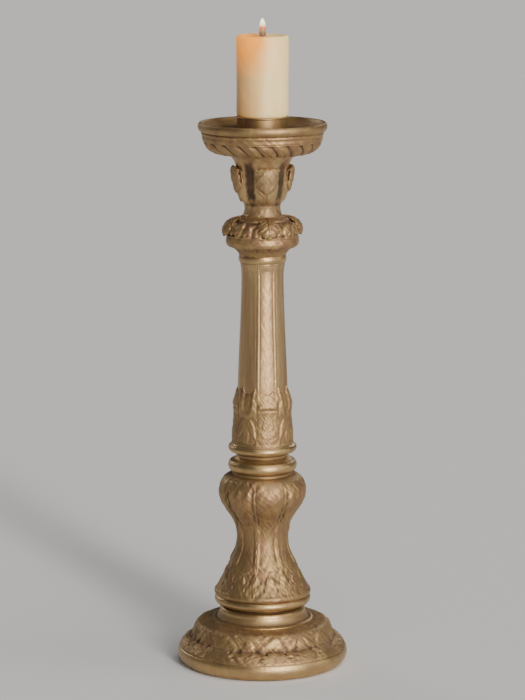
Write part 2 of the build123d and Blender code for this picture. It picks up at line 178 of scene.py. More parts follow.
def make_piece(name, vertices, faces, hollow):
    """A smooth-shaded mesh object that stores how hollow it is at each point, for its material to darken as
    patina and, in deep cuts, as painted shade.
    """
    mesh = bpy.data.meshes.new(name)
    mesh.vertices.add(len(vertices))
    mesh.vertices.foreach_set("co", np.asarray(vertices, np.float32).ravel())
    faces = np.asarray(faces, np.int32)
    mesh.loops.add(faces.size)
    mesh.loops.foreach_set("vertex_index", faces.ravel())
    mesh.polygons.add(len(faces))
    mesh.polygons.foreach_set("loop_start", np.arange(0, faces.size, faces.shape[1], dtype=np.int32))
    mesh.polygons.foreach_set("use_smooth", np.ones(len(faces), bool))
    mesh.update(calc_edges=True)
    stored = mesh.attributes.new("hollow", "FLOAT", "POINT")
    stored.data.foreach_set("value", np.asarray(hollow, np.float32))
    mesh.validate()
    piece = bpy.data.objects.new(name, mesh)
    bpy.context.scene.collection.objects.link(piece)
    return piece


def ring_faces(rows, columns, closed_rows=True):
    """Quads of a grid of rows that closes round its columns, and round its rows too if closed_rows."""
    last = rows if closed_rows else rows - 1
    i, j = np.meshgrid(np.arange(last), np.arange(columns), indexing="ij")
    up, on = (i + 1) % rows, (j + 1) % columns
    quads = np.stack([i * columns + j, i * columns + on, up * columns + on, up * columns + j], axis=-1)
    return quads.reshape(-1, 4)


def blurred(field, rows, columns):
    """A field averaged over a window of rows and columns. It wraps round the columns."""
    for axis, reach, mode in ((0, rows, "edge"), (1, columns, "wrap")):
        pad = [(0, 0)] * field.ndim
        pad[axis] = (reach + 1, reach)
        total = np.cumsum(np.pad(field, pad, mode=mode), axis=axis)
        size = field.shape[axis]
        upper = np.take(total, range(2 * reach + 1, 2 * reach + 1 + size), axis=axis)
        lower = np.take(total, range(0, size), axis=axis)
        field = (upper - lower) / (2 * reach + 1)
    return field


def outwards(line):
    """The unit normals of a line, to the right of the way it runs: out from a line that runs upwards."""
    tangent = np.gradient(line, axis=0)
    tangent /= np.linalg.norm(tangent, axis=1)[:, None]
    return np.column_stack([tangent[:, 1], -tangent[:, 0]])


def placed(r, angle, z):
    """Points at radius r and height z, at an angle from the front face (-Y) towards +X."""
    return np.stack([r * np.sin(angle), -r * np.cos(angle), z], axis=-1)


def turned(name, line, rest, rows, columns, relief=None):
    """A closed section: line revolved and carved by relief, and rest, a plain line that closes it behind.

    relief(phi, s, r, z) gives millimetres outwards. phi is the angle from the front face (-Y) towards +X,
    s the distance along the line, and r and z the radius and height, all in millimetres.
    """
    outside, s = spaced(line, rows)
    phi = np.arange(columns) * TAU / columns
    normal = outwards(outside)
    r, z = np.repeat(outside[:, :1], columns, 1), np.repeat(outside[:, 1:], columns, 1)
    deep = 0
    if relief:
        grid_phi, grid_s = np.meshgrid(phi, s / MM)
        lift = relief(grid_phi, grid_s, r / MM, z / MM) * MM
        r, z = r + lift * normal[:, :1], z + lift * normal[:, 1:]
        # Cuts deeper than SHALLOW count as more hollow, so the brass paints shade into them
        deep = np.maximum(0, -lift / MM - SHALLOW)
    points = placed(r, phi, z)
    cell = (s[1] - s[0], outside[:, 0].mean() * TAU / columns)
    windows = [[max(1, round(size * MM / side)) for side in cell] for size in HOLLOW_SIZES]
    hollow = DEEP_SHADE_SHARE * deep + sum(hollowness(points, *window) for window in windows)
    rest = np.asarray(rest)
    back = placed(rest[:, :1], phi, np.repeat(rest[:, 1:], columns, 1))
    vertices = np.vstack([points.reshape(-1, 3), back.reshape(-1, 3)])
    hollow = np.concatenate([hollow.ravel(), np.full(len(rest) * columns, BACK_HOLLOW)])
    return make_piece(name, vertices, ring_faces(rows + len(rest), columns), hollow)


def hollowness(points, rows, columns):
    """How far each point of a grid lies below (+) or above (-) its surroundings, in millimetres."""
    normal = np.cross(np.roll(points, -1, axis=1) - np.roll(points, 1, axis=1), np.gradient(points, axis=0))
    normal /= np.maximum(np.linalg.norm(normal, axis=-1, keepdims=True), 1e-12)
    return ((blurred(points, rows, columns) - points) * normal).sum(-1) / MM


def blade(line, half_width, lobes, depth, body, hug, slope=0.25, lining=None):
    """One cast leaf on the front face, as vertices, faces and hollowness. Its stem runs along line.

    half_width, body (its thickness behind the line), lining (its thickness before it) and hug (how far
    its sides bend back) are millimetres at t, which goes from 0 at the root to 1 at the tip. The edge has
    lobes, each with a vein depth millimetres deep that climbs from the midrib by slope of the leaf's length.
    """
    rows, columns = 110, 49
    middle, _ = spaced(line, rows)
    normal = outwards(middle)
    root = normal[: rows // 3]
    if root[:, 0].mean() + root[:, 1].mean() < 0:
        normal = -normal
    t, u = np.meshgrid(np.linspace(0, 1, rows), np.linspace(-1, 1, columns), indexing="ij")
    wave = np.abs(np.sin(math.pi * lobes * (t - slope * np.abs(u)))) ** 0.55
    edge_wave = np.abs(np.sin(math.pi * lobes * (t[:, :1] - slope))) ** 0.7
    width = half_width(t) * (0.86 + 0.14 * edge_wave) * MM
    lift = depth * (wave - 1) * rise(np.abs(u), 0.06, 0.4) * between(t, 0.0, 1.05, 0.12)
    lift += 0.9 * line_at(u, 0, 0.09) * (1 - t) - 0.5 * line_at(np.abs(u), 0.15, 0.06) * (1 - t)
    lift -= hug(t) * np.abs(u) ** 2.5
    lift += 0.3 * grain(3 * u, 60 * t, 3, 9, 61)
    thin = 1 - 0.7 * np.abs(u) ** 3
    under = lift - body(t) * thin
    if lining:
        lift = lift + lining(t) * thin
    sheets = []
    for offset in (lift, under):
        r = middle[:, :1] + offset * MM * normal[:, :1]
        z = middle[:, 1:] + offset * MM * normal[:, 1:]
        sheets.append(placed(r, u * width / middle[:, :1], z))
    ring = np.concatenate([sheets[0], sheets[1][:, ::-1]], axis=1)
    around = 2 * columns
    faces = list(ring_faces(rows, around, closed_rows=False))
    for row in (0, rows - 1):
        base = row * around
        for k in range(columns - 1):
            quad = [base + k, base + k + 1, base + around - 2 - k, base + around - 1 - k]
            faces.append(quad if row else quad[::-1])
    hollow = np.concatenate([0.7 * depth * (0.75 - wave), np.full((rows, columns), 0.4)], axis=1)
    return ring.reshape(-1, 3), np.array(faces), hollow.ravel()


def leaves(name, leaf, count):
    """Equal leaves round the axis, as one piece."""
    vertices, faces, hollow = leaf
    all_vertices, all_faces = [], []
    for i in range(count):
        c, s = math.cos(TAU * i / count), math.sin(TAU * i / count)
        turn = np.array([[c, -s, 0], [s, c, 0], [0, 0, 1]])
        all_vertices.append(vertices @ turn.T)
        all_faces.append(faces + i * len(vertices))
    return make_piece(name, np.vstack(all_vertices), np.vstack(all_faces), np.tile(hollow, count))


# ---------------------------------------------------------------- ornament, in millimetres

def sector(phi, count, turn=0.0):
    """The angle from the middle of the nearest of count equal sectors, and that sector's number."""
    step = TAU / count
    number = np.round((phi - turn) / step)
    return phi - turn - number * step, number.astype(int) % count


def rise(x, start, end):
    """0 before start, 1 after end, and a smooth climb between them."""
    t = np.clip((x - start) / (end - start), 0, 1)
    return t * t * (3 - 2 * t)


def between(x, start, end, soft):
    """1 from start to end, fading to 0 over soft inside each."""
    return rise(x, start, start + soft) * (1 - rise(x, end - soft, end))


def line_at(x, place, width):
    """A smooth ridge, 1 high, at place."""
    return np.exp(-(((x - place) / width) ** 2))


def boss(x, y, centre, size, turn=0.0, edge=0.5):
    """An oval button, 1 high at its middle."""
    dx, dy = x - centre[0], y - centre[1]
    u = (dx * math.cos(turn) + dy * math.sin(turn)) / size[0]
    v = (dy * math.cos(turn) - dx * math.sin(turn)) / size[1]
    return np.clip(1 - u * u - v * v, 0, 1) ** edge


def leaflet(x, y, root, angle, length, width, bend=0.0, groove=0.35):
    """A pointed leaf with a groove down its middle. angle is from +y towards +x."""
    dx, dy = x - root[0], y - root[1]
    along = (dx * math.sin(angle) + dy * math.cos(angle)) / length
    across = dx * math.cos(angle) - dy * math.sin(angle) - bend * length * along**2
    t = np.clip(along, 0, 1)
    half = np.maximum(width * 2.4 * t**0.55 * (1 - t) ** 0.8, 1e-6)
    body = np.sqrt(np.clip(1 - (across / half) ** 2, 0, 1)) * rise(along, 0, 0.12)
    return body * (1 - groove * line_at(across, 0, 0.2 * width) * (1 - t))


def acanthus(x, y, half_width, height, pairs, width, droop=0.3):
    """An upright compound leaf that stands on y = 0: pairs of side leaflets, a stem and a tip."""
    leaf = 0.95 * leaflet(x, y, (0, 0.52 * height), 0, 0.5 * height, 0.32 * half_width)
    for i in range(pairs):
        t = i / (pairs - 1)
        angle = math.radians(72 - 40 * t)
        root = (0.03 + 0.6 * t) * height
        length = half_width * (1.12 - 0.34 * t)
        side_leaf = leaflet(np.abs(x), y, (0, root), angle, length, width * half_width, bend=-droop)
        leaf = np.maximum(leaf, (0.74 + 0.2 * t) * side_leaf)
    stem = line_at(x, 0, 0.08 * half_width) * between(y, 0, 0.8 * height, 0.12 * height)
    return np.maximum(leaf, 0.9 * stem)


def grain(phi, y, cells, size, seed):
    """Smooth bumps of about size millimetres, which wrap round the section. Most are from -1 to 1."""
    rng = np.random.default_rng(seed)
    total = np.zeros_like(phi)
    for octave in range(3):
        turns = int(cells * 2**octave)
        for _ in range(5):
            k = rng.integers(max(1, turns // 2), turns + 1) * rng.choice((-1, 1))
            wave = TAU * 2**octave / size * rng.uniform(0.5, 1.0)
            total += np.sin(k * phi + wave * y + rng.uniform(0, TAU)) * 0.6**octave
    return total / 5


def dome_relief(phi, s, r, z):
    """Foot: low foliage worn soft, with broad leaves, small ones between them, and pits in their gaps."""
    off, face = sector(phi, FACES)
    drawn_at = (r + FOOT_RADIUS) / 2
    x = off * drawn_at
    edge = math.pi / FACES * drawn_at - np.abs(x)
    lean = x * np.where(face % 2 == 0, 1, -1)
    foliage = np.maximum.reduce((
        acanthus(x, s - 2, 15, 34, pairs=4, width=0.38),
        0.92 * acanthus(edge, s - 1, 13, 28, pairs=3, width=0.42),
        0.85 * leaflet(lean, s, (13, 13), math.radians(22), 22, 4.6, bend=0.25),
        0.85 * leaflet(-lean, s, (17, 16), math.radians(-28), 19, 4.4, bend=-0.25),
        0.80 * leaflet(np.abs(x), s, (15.5, 1), math.radians(-8), 15, 4.2),
        0.75 * leaflet(np.abs(x), s, (9, 34), math.radians(30), 15, 4.6, bend=-0.2),
    ))
    foliage = blurred(foliage, 1, 2)
    band = between(s, 2, 50, 4) * (1 - 0.6 * rise(s, 26, 42))
    lift = 1.3 * band * (foliage - 0.85)
    for place, size in (((15.5, 9), (3.2, 2.0)), ((10.5, 15), (2.0, 2.6)), ((20.5, 19), (2.6, 2.0))):
        lift -= 1.3 * boss(np.abs(lean + 1.2), s, place, size, edge=1)
    lift -= 1.4 * line_at(s, 35.5, 6.0)
    return lift + 0.3 * grain(phi, s, 60, 9, 11)


def baluster_relief(phi, s, r, z):
    """Bell, waist and urn: lobes, then smooth panels between straps of husks, over a skirt of foliage."""
    height = z - high("bell_ring") / MM
    urn_low, urn_high = 74, 138
    strap_low, strap_high = 8, 86
    off, face = sector(phi, FACES)
    x = off * r
    ax = np.abs(x)
    edge = math.pi / FACES * r - ax
    # Lobes of the urn: a wide groove between them with a bead in it, and a soft leaf on each
    urn = between(height, urn_low, urn_high, 18)
    bead = 0.5 * line_at(edge, 0, 1.1)
    groove = -2.0 * np.exp(-((edge / 5.2) ** 2)) - 0.45 * line_at(edge, 2.4, 1.1) + bead
    leaf = np.maximum(
        leaflet(ax, height, (2.5, 82), math.radians(11), 50, 6.4, bend=0.05, groove=0.3),
        leaflet(x, height, (0, 84), 0, 46, 5.4, groove=0.3),
    )
    broad = acanthus(x, height - 86, 15, 44, pairs=4, width=0.4, droop=0.2)
    soft = blurred(np.where(face % 2 == 0, 0.8 * (broad - 0.9), 1.1 * (leaf - 0.9)), 1, 2)
    lift = urn * (groove + soft * rise(edge, 2.0, 6.0))
    # Waist and bell: sunk panels that end in a tongue, and straps of overlapping husks between them
    low_end = 33.5 + 4.5 * (ax / 11) ** 2
    panel = rise(edge, 2.6, 4.4) * rise(height - low_end, -0.8, 1.4) * (1 - rise(height, urn_low, 90))
    lift -= panel * (1.3 - 0.5 * (1 - (ax / 12) ** 2))
    lift += 0.5 * line_at(height - low_end, -1.8, 1.2) * rise(edge, 3, 6)
    strap = between(height, strap_low, strap_high, 6)
    for step in range(8):
        husk = leaflet(edge, height, (0, 80 - 9.5 * step), math.pi, 14, 3.0 + 0.25 * step, groove=0.45)
        lift = np.maximum(lift, strap * (2.3 * husk - 1.75) - 2 * (1 - strap))
    # Skirt of worn leaves round the bell's edge
    skirt = between(height, 1.0, 40, 3) * (1 - panel)
    xc = sector(phi, 2 * FACES, FACE_STEP / 4)[0] * r
    foliage = np.maximum.reduce((
        acanthus(x, height - 1, 13, 25, pairs=3, width=0.42),
        0.95 * acanthus(edge, height - 1, 12, 29, pairs=3, width=0.42),
        0.8 * leaflet(xc, height, (0, 1), 0, 22, 4.6, groove=0.3),
    ))
    foliage = blurred(foliage, 1, 1)
    lift += skirt * (1.45 * (foliage - 0.8) - 0.9 * boss(ax, height, (8.6, 14), (1.7, 3.2), edge=1))
    lift = np.minimum(lift, 0.5)
    worn_down = (0.36 - 0.2 * between(height, 34, 84, 14)) * between(height, 1, 139, 4)
    return lift + worn_down * grain(phi, height, 34, 9, 3)


def leaf_cup_relief(phi, s, r, z):
    """Sleeve of worn leaves: ledges under half of the panels, long hollows under the others, and notches."""
    height = z - low("leaf_cup") / MM
    off, face = sector(phi, FACES)
    x = off * r
    ax = np.abs(x)
    edge = math.pi / FACES * r - ax
    # Smooth tongues below the panels, which end on a bowed ledge
    bowed = height + 0.010 * x**2
    inside = 1 - rise(ax, 9.6, 11.6)
    ledge = 0.55 * line_at(bowed, 46.5, 2.2) - 0.9 * line_at(bowed, 42.4, 1.3)
    leaf = acanthus(x, height - 2, 11, 40, pairs=4, width=0.42, droop=0.2)
    tongue = inside * (ledge - 0.5 * rise(bowed, 48, 56)) + 0.4 * (leaf - 0.9) * (1 - rise(bowed, 36, 41))
    # Long ovals in a raised rim, over leaves that curl outwards at their feet
    oval = (np.hypot(x / 6.4, np.maximum(0, 48 - height) / 11.5) - 1) * 6
    hollow = -1.3 * (1 - rise(oval, -2.6, 0.4)) + 0.5 * line_at(oval, 1.5, 1.1)
    curl = np.maximum(
        leaflet(ax, height, (2.4, 33), math.radians(163), 28, 4.6, bend=-0.16, groove=0.3),
        0.8 * leaflet(x, height, (0, 2), 0, 30, 4.6, groove=0.4),
    )
    panel = hollow * rise(height, 26, 34) + 1.1 * (curl - 0.8) * (1 - rise(height, 30, 37))
    carved = between(height, 1.5, 90, 3.0) * rise(edge, 0.4, 2.6)
    lift = carved * blurred(np.where(face % 2 == 0, tongue, panel), 1, 1)
    lift -= 0.8 * np.exp(-((edge / 1.8) ** 2)) * between(height, 3, 56, 8)
    lift = np.minimum(lift, 0.4) + 0.24 * grain(phi, height, 30, 8, 5)
    lift -= 1.3 * rise(height, 54, 67)
    # A round notch in the top of each panel, cut down to a thin wall
    notch = np.hypot(x, height - (high("leaf_cup") - low("leaf_cup")) / MM) - 7.5
    thin_wall = CUP_BORE + 1.5
    return np.where(notch < 0, lift + (thin_wall - r - lift) * rise(-notch, 0, 0.9), lift)


def shaft_relief(phi, s, r, z):
    """Shaft: slightly crowned panels between slender ribs, each ending in a low arch at its top."""
    height = z - low("leaf_cup") / MM
    off, _ = sector(phi, FACES)
    x = off * r
    half = math.pi / FACES * r
    edge = half - np.abs(x)
    rib_half = 1.5
    inner = half - rib_half
    facet = r * (math.cos(math.pi / FACES) / np.cos(off) - 1) + 1.7 * (1 - (x / half) ** 2)
    round_end = 0.35 * inner * (1 - np.sqrt(np.clip(1 - (x / inner) ** 2, 0, 1)))
    inside = 1 - rise(height, 197 - round_end, 202 - round_end)
    panel = facet - 0.2 - 0.25 * np.exp(-((edge - 1.9) / 0.9) ** 2)
    rib = -0.45 * (1 - np.sqrt(np.clip(1 - (edge / rib_half) ** 2, 0, 1)))
    lift = np.where(edge < rib_half, rib, panel * inside)
    return lift + 0.07 * grain(phi, height, 24, 14, 9)


def capital_relief(phi, s, r, z):
    """Capital: swelling leaves on the shoulder, a plain drum, and a row of small leaves under it."""
    height = z - low("capital_body") / MM
    shoulder_low, shoulder_radius = 21.5, 40
    off, _ = sector(phi, LEAVES, FACE_STEP)
    x = off * shoulder_radius
    y = s - np.interp(shoulder_low, height[:, 0], s[:, 0])
    foliage = np.maximum.reduce((
        leaflet(x, y, (-13, 2), math.radians(48), 22, 8.0, bend=-0.30, groove=0.15),
        0.95 * leaflet(x, y, (1, 0), math.radians(40), 19, 7.4, bend=-0.30, groove=0.15),
        0.95 * leaflet(x, y, (15, 0), math.radians(30), 18, 7.0, bend=-0.25, groove=0.15),
        0.85 * leaflet(x, y, (-22, 2), math.radians(20), 18, 6.6, bend=-0.2, groove=0.15),
        0.75 * boss(x, y, (-3.5, 15), (5.0, 4.0)),
        0.75 * boss(x, y, (12, 16), (4.6, 3.6)),
    ))
    foliage = blurred(foliage, 2, 2)
    lift = 2.4 * (foliage - 0.9) * between(y, 0.4, 25, 2.4)
    for place, size in (((-7.5, 5.2), (3.0, 2.2)), ((5.8, 5.0), (2.6, 2.2)), ((19, 5.0), (2.2, 2.0))):
        lift -= 1.0 * boss(x, y, place, size, turn=0.5, edge=1)
    lift -= 0.6 * line_at(y, -0.4, 0.7) + 0.4 * line_at(height, 13.2, 0.5)
    tooth, _ = sector(phi, 16, FACE_STEP / 4)
    small = np.sqrt(np.clip(1 - (tooth * r / 6.4) ** 2, 0, 1)) * (1 - 0.3 * line_at(tooth * r, 0, 1.2))
    lift += 1.1 * (small - 1) * between(height, 4.0, 12.5, 2.0)
    return lift + 0.26 * grain(phi, s, 30, 8, 21)


def knop_relief(phi, s, r, z):
    """Knop: a deep trough between each soldered leaf and the next."""
    height = z - low("knop_body") / MM
    off, _ = sector(phi, LEAVES, FACE_STEP)
    x = off * r
    trough = np.exp(-np.abs(x / 8.8) ** 2.6) * between(height, 2, 70, 22)
    lift = -4.2 * trough - 0.3 * line_at(height, 12, 0.9)
    return lift + 0.24 * grain(phi, height, 24, 8, 31)


def bowl_relief(phi, s, r, z):
    """Drip bowl: slanting gadroons that overlap like leaves, under a plain bead."""
    leaf_start = 7.0
    leaf_end = np.interp(14.6, z[:, 0] - z[0, 0], s[:, 0])
    y = s - leaf_start
    length = leaf_end - leaf_start
    t = np.clip(y / length, 0, 1)
    off, _ = sector(phi + 0.20 * t - 0.05 * np.sin(math.pi * t), GADROONS)
    half = math.pi / GADROONS * r
    u = off * r / half
    leaf = np.clip(1 - np.abs(u + 0.12 * (1 - u**2)) ** 2.4, 0, 1) ** 0.8
    leaf = leaf - 0.3 * line_at(u, -0.15, 0.2) * between(t, 0.1, 0.85, 0.2)
    over = np.clip((y - (length - half)) / half, 0, 1)
    shape = leaf * np.sqrt(np.clip(1 - over**2 * (0.35 + 0.65 * np.abs(u)), 0, 1))
    lift = 2.6 * blurred(shape - 1, 1, 1) * between(y, 0, length + 0.8, 2.2)
    lift -= 0.6 * line_at(z - z[0, 0], 15.8, 0.6)
    return lift + 0.3 * grain(phi, s, 50, 8, 41)


# ---------------------------------------------------------------- camera, floor and light

def add_to_scene(name, data):
    """A new object in the scene that holds data."""
    thing = bpy.data.objects.new(name, data)
    bpy.context.scene.collection.objects.link(thing)
    return thing


def place_camera():
    """A long lens at the angle the object is seen from: turned a little to its left and slightly above."""
    azimuth, pitch = math.radians(-11), math.radians(10.24)
    distance, height = 3.386, 0.971
    data = bpy.data.cameras.new("camera")
    data.sensor_width = 36
    data.lens = 157.5411
    data.clip_end = 100
    camera = add_to_scene("camera", data)
    camera.location = (distance * math.sin(azimuth), -distance * math.cos(azimuth), height)
    camera.rotation_euler = (math.pi / 2 - pitch, 0, azimuth)
    bpy.context.scene.camera = camera


def nodes_of(name):
    """A new material, its node tree and its shader."""
    material = bpy.data.materials.new(name)
    material.use_nodes = True
    tree = material.node_tree
    return material, tree, tree.nodes["Principled BSDF"]


def place_floor():
    """A wide, plain, pale floor at height 0."""
    reach = 30.0
    corners = [(-reach, -reach, 0), (reach, -reach, 0), (reach, reach, 0), (-reach, reach, 0)]
    mesh = bpy.data.meshes.new("floor")
    mesh.from_pydata(corners, [], [(0, 1, 2, 3)])
    material, _, shader = nodes_of("floor_paint")
    shader.inputs["Base Color"].default_value = (0.78, 0.77, 0.75, 1)
    shader.inputs["Roughness"].default_value = 0.85
    mesh.materials.append(material)
    add_to_scene("floor", mesh)


def distant_light(name, azimuth, elevation, strength, colour, angle):
    """A distant lamp, of the same strength all over the floor, as wide as angle.

    The three angles are in degrees. azimuth goes from -Y towards +X.
    """
    turn, climb = math.radians(azimuth), math.radians(elevation)
    towards = Vector((math.sin(turn) * math.cos(climb), -math.cos(turn) * math.cos(climb), math.sin(climb)))
    lamp = bpy.data.lights.new(name, "SUN")
    lamp.energy = strength
    lamp.color = colour
    lamp.angle = math.radians(angle)
    add_to_scene(name, lamp).rotation_euler = towards.to_track_quat("Z", "Y").to_euler()


def place_lights():
    """A dim room, a wide soft light above, a tall key light in front, a fill and two rim lights."""
    world = bpy.data.worlds.new("studio")
    bpy.context.scene.world = world
    world.use_nodes = True
    background = world.node_tree.nodes["Background"]
    background.inputs["Color"].default_value = (0.92, 0.95, 1, 1)
    background.inputs["Strength"].default_value = 0.07
    distant_light("overhead", 28.5, 62.4, 1.35, (1, 1, 1), 60)
    for elevation, strength in ((4.5, 1.7), (12.5, 1.05), (21, 0.7), (29.5, 0.5)):
        distant_light(f"key_{elevation:.0f}", 14, elevation, strength, (1, 0.96, 0.9), 9)
    distant_light("fill_right", 70, 16, 0.34, (1, 0.92, 0.82), 16)
    distant_light("rim_left", 212, 22, 0.32, (0.95, 0.97, 1), 14)
    distant_light("rim_right", 144, 22, 0.26, (1, 0.97, 0.92), 14)


# ---------------------------------------------------------------- materials

PATINA = (0.20, 0.125, 0.055)
# The next two browns darken the deepest hollows: the first is dirt and painted shade, the second painted
# shade alone
DARK_GRIME_AND_SHADE = (0.06, 0.036, 0.018)
PAINTED_CREVICE_SHADE = (0.05, 0.03, 0.016)
COPPER = (0.29, 0.165, 0.092)
OLIVE = (0.24, 0.18, 0.08)
DEEP_IVORY, PALE_IVORY = (0.91, 0.67, 0.30), (0.96, 0.76, 0.40)
# Painted shade: a warm brown for the candle's left side
PAINTED_LEFT_SHADE = (0.72, 0.42, 0.15)
# Painted light: the flame's orange on the wax, as a colour and as the light the wax gives off
PAINTED_FLAME_GLOW = (0.90, 0.36, 0.03)
PAINTED_GLOW_LIGHT = (1.0, 0.30, 0.025)

# A Mix node's colour sockets share their names with its other sockets, so they go by number
MIX_FIRST, MIX_SECOND, MIX_RESULT = 6, 7, 2


def object_place(tree):
    """Coordinates that stay with the object, in metres."""
    return tree.nodes.new("ShaderNodeTexCoord").outputs["Object"]


def mapped(tree, coordinates, scale):
    """Coordinates stretched by scale."""
    mapping = tree.nodes.new("ShaderNodeMapping")
    mapping.inputs["Scale"].default_value = scale
    tree.links.new(coordinates, mapping.inputs["Vector"])
    return mapping.outputs["Vector"]


def along_axis(tree, coordinates, axis):
    """One of the coordinates: X, Y or Z."""
    split = tree.nodes.new("ShaderNodeSeparateXYZ")
    tree.links.new(coordinates, split.inputs["Vector"])
    return split.outputs[axis]


def noise(tree, vector, scale, detail=4.0, rough=0.55):
    """Cloudy noise, with about scale blotches to the metre."""
    node = tree.nodes.new("ShaderNodeTexNoise")
    node.inputs["Scale"].default_value = scale
    node.inputs["Detail"].default_value = detail
    node.inputs["Roughness"].default_value = rough
    tree.links.new(vector, node.inputs["Vector"])
    return node.outputs["Fac"]


def ranged(tree, value, low_in, high_in, low_out=0.0, high_out=1.0):
    """A value carried from one range to another, and held inside it."""
    node = tree.nodes.new("ShaderNodeMapRange")
    limits = {"From Min": low_in, "From Max": high_in, "To Min": low_out, "To Max": high_out}
    for key, number in limits.items():
        node.inputs[key].default_value = number
    tree.links.new(value, node.inputs["Value"])
    return node.outputs["Result"]


def sum_of(tree, first, second, share=1.0):
    """first + share * second."""
    node = tree.nodes.new("ShaderNodeMath")
    node.operation = "MULTIPLY_ADD"
    tree.links.new(second, node.inputs[0])
    node.inputs[1].default_value = share
    tree.links.new(first, node.inputs[2])
    return node.outputs["Value"]


def product(tree, first, second):
    """first * second."""
    node = tree.nodes.new("ShaderNodeMath")
    node.operation = "MULTIPLY"
    tree.links.new(first, node.inputs[0])
    tree.links.new(second, node.inputs[1])
    return node.outputs["Value"]


def ramp(tree, value, *stops):
    """A colour ramp over value. Each stop is a place and a colour."""
    node = tree.nodes.new("ShaderNodeValToRGB")
    elements = node.color_ramp.elements
    while len(elements) < len(stops):
        elements.new(0.5)
    for element, (place, colour) in zip(elements, stops):
        element.position = place
        element.color = (*colour, 1)
    tree.links.new(value, node.inputs["Fac"])
    return node.outputs["Color"]


def mixed(tree, factor, first, second):
    """A colour mixed by factor with second, a fixed colour."""
    node = tree.nodes.new("ShaderNodeMix")
    node.data_type = "RGBA"
    tree.links.new(factor, node.inputs["Factor"])
    tree.links.new(first, node.inputs[MIX_FIRST])
    node.inputs[MIX_SECOND].default_value = (*second, 1)
    return node.outputs[MIX_RESULT]


def bumped(tree, shader, height, distance, strength=1.0):
    """Gives a shader a bump that is distance deep."""
    node = tree.nodes.new("ShaderNodeBump")
    node.inputs["Distance"].default_value = distance
    node.inputs["Strength"].default_value = strength
    tree.links.new(height, node.inputs["Height"])
    tree.links.new(node.outputs["Normal"], shader.inputs["Normal"])


def brass(name, gilt, tarnish, rough, lathe_marks, stretch=0.6, warmth=0.8):
    """Old brass: bright on its worn ridges, brown and matt with patina in its hollows, with blotches of
    tarnish, and painted shade, near black, in its deepest cuts.

    stretch squeezes the warm blotches' noise along the height, so a small one draws them out into streaks.
    """
    material, tree, shader = nodes_of(name)
    place = object_place(tree)
    blotch = noise(tree, place, 38, 5, 0.6)
    speck = noise(tree, place, 190, 4, 0.65)
    fine = noise(tree, place, 900, 3, 0.6)
    hollow = tree.nodes.new("ShaderNodeAttribute")
    hollow.attribute_name = "hollow"
    # How far each point goes into patina and dirt, and in deep cuts into painted shade
    grime_and_shade = sum_of(tree, sum_of(tree, hollow.outputs["Fac"], speck, 0.55), blotch, 0.5)
    grime_and_shade = ranged(tree, grime_and_shade, 0.30 + 0.2 * (1 - tarnish), 1.75 + 0.3 * (1 - tarnish))
    dull_gilt = tuple(0.72 * share for share in gilt)
    colour = ramp(tree, grime_and_shade, (0.0, gilt), (0.35, dull_gilt), (0.62, PATINA), (1.0, DARK_GRIME_AND_SHADE))
    drawn_out = noise(tree, mapped(tree, place, (1, 1, stretch)), 70, 5, 0.65)
    warm = ranged(tree, drawn_out, 0.42, 0.60, 0.0, warmth * tarnish)
    colour = mixed(tree, warm, colour, COPPER)
    green = ranged(tree, noise(tree, place, 23, 4), 0.48, 0.68, 0.0, 0.45 * tarnish)
    colour = mixed(tree, green, colour, OLIVE)
    # Painted shade: the deepest hollows darken towards near black
    colour = mixed(tree, ranged(tree, grime_and_shade, 0.62, 1.0, 0.0, 0.62), colour, PAINTED_CREVICE_SHADE)
    tree.links.new(colour, shader.inputs["Base Color"])
    tree.links.new(ranged(tree, grime_and_shade, 0.2, 0.9, 0.92, 0.45), shader.inputs["Metallic"])
    dirt = sum_of(tree, grime_and_shade, speck, 0.4)
    tree.links.new(ranged(tree, dirt, 0.1, 1.1, rough, rough + 0.32), shader.inputs["Roughness"])
    marks = noise(tree, mapped(tree, place, (12, 12, 1800)), 1.0, 3)
    relief = sum_of(tree, sum_of(tree, fine, speck, 1.0 + 1.4 * tarnish), marks, lathe_marks)
    bumped(tree, shader, relief, 0.00022, 0.8)
    return material


